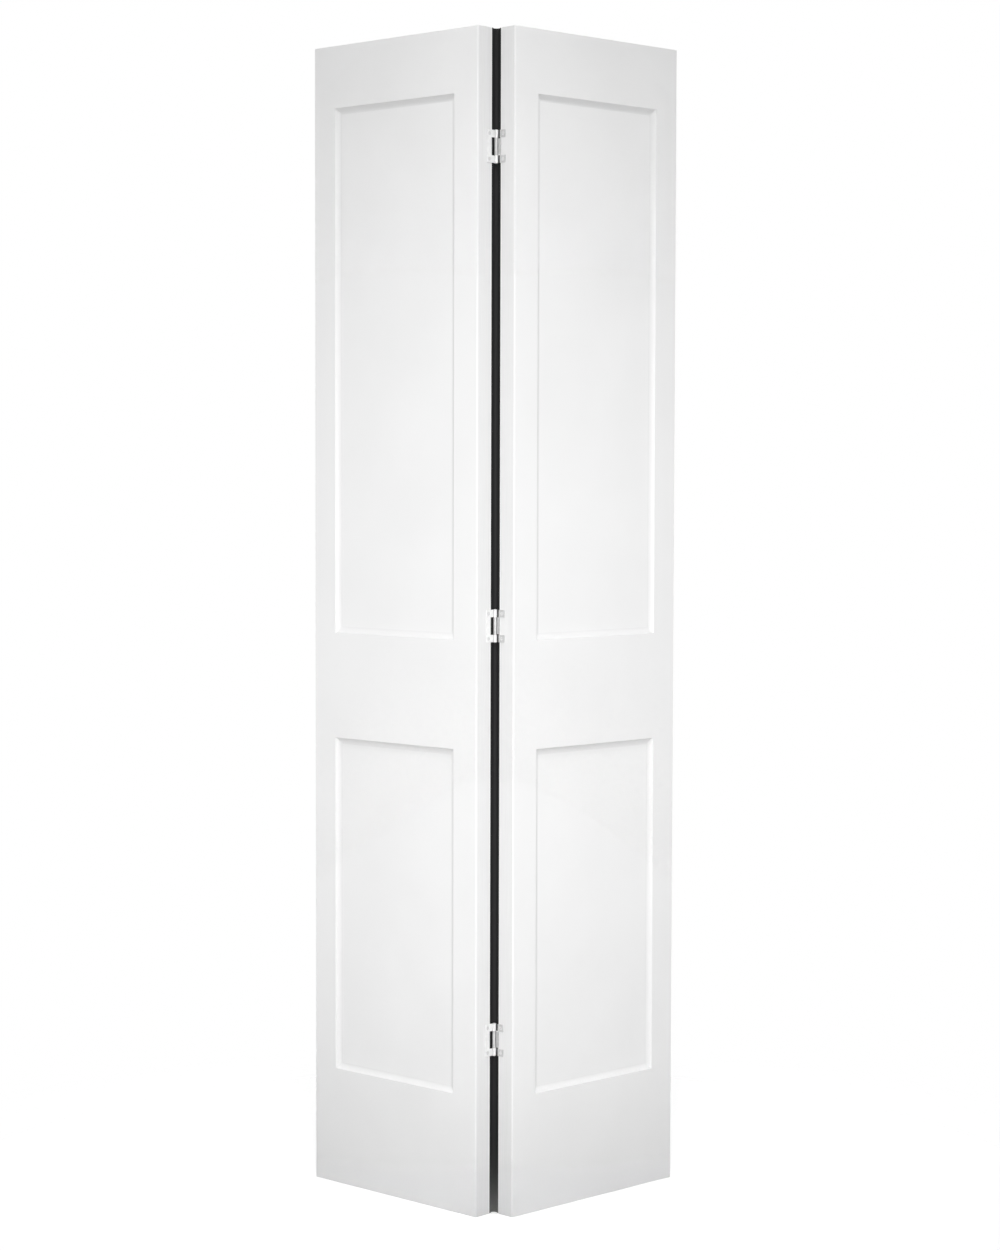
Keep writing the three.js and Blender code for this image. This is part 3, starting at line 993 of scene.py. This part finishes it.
def pale_floor():
    """A white sweep that fades into the surroundings. It throws less light back up than it shows, as a floor
    does that is lit from below, so that the foot of the door keeps its shading."""
    material, tree, place = new_material("white_acrylic_floor")
    grit = noise(tree, place, 3)
    shown = blended(tree, between(tree, grit, 0, 1), linear("#FBFBFB"), linear("#F8F8F8"))
    thrown = linear("#A0A0A0")
    seen = add(tree, "ShaderNodeLightPath").outputs["Is Camera Ray"]
    shader = add(
        tree,
        "ShaderNodeBsdfPrincipled",
        {
            "Base Color": blended(tree, seen, thrown, shown),
            "Roughness": 0.8,
            "Specular IOR Level": 0.2,
            "Emission Color": linear("#FFFFFF"),
            "Emission Strength": between(tree, seen, 0, FLOOR_GLOW, 0, 1),
        },
    )
    distance = add(tree, "ShaderNodeVectorMath", {0: place}, operation="LENGTH").outputs["Value"]
    fade = add(
        tree,
        "ShaderNodeMapRange",
        {"Value": distance, "From Min": FLOOR_FADE_START, "From Max": FLOOR_RADIUS},
        interpolation_type="SMOOTHSTEP",
    ).outputs[0]
    clear = add(tree, "ShaderNodeBsdfTransparent")
    surface = add(tree, "ShaderNodeMixShader", {0: fade, 1: shader.outputs[0], 2: clear.outputs[0]})
    add(tree, "ShaderNodeOutputMaterial", {"Surface": surface.outputs[0]})
    corners = []
    for k in range(FLOOR_SIDES):
        angle = 2 * math.pi * k / FLOOR_SIDES
        corners.append((FLOOR_RADIUS * math.cos(angle), FLOOR_RADIUS * math.sin(angle), 0))
    mesh = bpy.data.meshes.new("floor")
    mesh.from_pydata(corners, [], [tuple(range(FLOOR_SIDES))])
    mesh.materials.append(material)
    floor = bpy.data.objects.new("floor", mesh)
    bpy.context.scene.collection.objects.link(floor)


def soft_light(name, place, target, size, power, spread):
    """A square softbox with a grid: it shines on the target, and its light falls off within the spread,
    which is in degrees."""
    light = bpy.data.lights.new(name, "AREA")
    light.shape = "SQUARE"
    light.size = size
    light.energy = power
    light.spread = math.radians(spread)
    holder = bpy.data.objects.new(name, light)
    bpy.context.scene.collection.objects.link(holder)
    holder.location = place
    holder.rotation_euler = (Vector(target) - Vector(place)).to_track_quat("-Z", "Y").to_euler()


def surroundings(above, below):
    """Soft grey light from all round, stronger from above, behind which the camera sees plain white."""
    world = bpy.data.worlds.new("studio")
    world.use_nodes = True
    tree = world.node_tree
    tree.nodes.clear()
    direction = add(tree, "ShaderNodeTexCoord").outputs["Generated"]
    up = add(tree, "ShaderNodeSeparateXYZ", {0: direction}).outputs["Z"]
    strength = between(tree, up, below, above, -0.5, 0.5)
    light = add(tree, "ShaderNodeBackground", {"Color": linear("#FFFFFF"), "Strength": strength})
    backdrop = add(tree, "ShaderNodeBackground", {"Color": linear("#FFFFFF"), "Strength": 1.0})
    seen = add(tree, "ShaderNodeLightPath").outputs["Is Camera Ray"]
    mixed = add(tree, "ShaderNodeMixShader", {0: seen, 1: light.outputs[0], 2: backdrop.outputs[0]})
    add(tree, "ShaderNodeOutputWorld", {"Surface": mixed.outputs[0]})
    bpy.context.scene.world = world


pale_floor()
surroundings(above=0.7, below=0.63)
soft_light("front_softbox", place=(0, -4.5, 1.2), target=(0, 0, 0.85), size=0.9, power=4.0, spread=36)
soft_light("overhead_softbox", place=(0, -1.5, 3.2), target=(0, -0.1, 1.25), size=0.35, power=1.6, spread=50)
soft_light("foot_light", place=(0, -4.4, 2.6), target=(0, 0, 0.12), size=0.3, power=0.52, spread=17)

# The camera, fitted to the corners and edges of the leaves
CAMERA_PLACE = (-0.02024, -4.85679, 1.27302)
CAMERA_PAN = math.radians(0.3441)
CAMERA_DIP = math.radians(3.2081)
CAMERA_ROLL = math.radians(-0.1416)
CAMERA_LENS = 80.8  # millimetres
CAMERA_SENSOR = 36  # millimetres, along the longer side of the frame

camera_data = bpy.data.cameras.new("camera")
camera_data.lens = CAMERA_LENS
camera_data.sensor_width = CAMERA_SENSOR
camera = bpy.data.objects.new("camera", camera_data)
bpy.context.scene.collection.objects.link(camera)
level_look = Matrix.Rotation(-CAMERA_PAN, 4, "Z") @ Matrix.Rotation(math.pi / 2 - CAMERA_DIP, 4, "X")
camera.matrix_world = Matrix.Translation(CAMERA_PLACE) @ level_look @ Matrix.Rotation(-CAMERA_ROLL, 4, "Z")
bpy.context.scene.camera = camera
bpy.context.scene.view_settings.view_transform = "Standard"
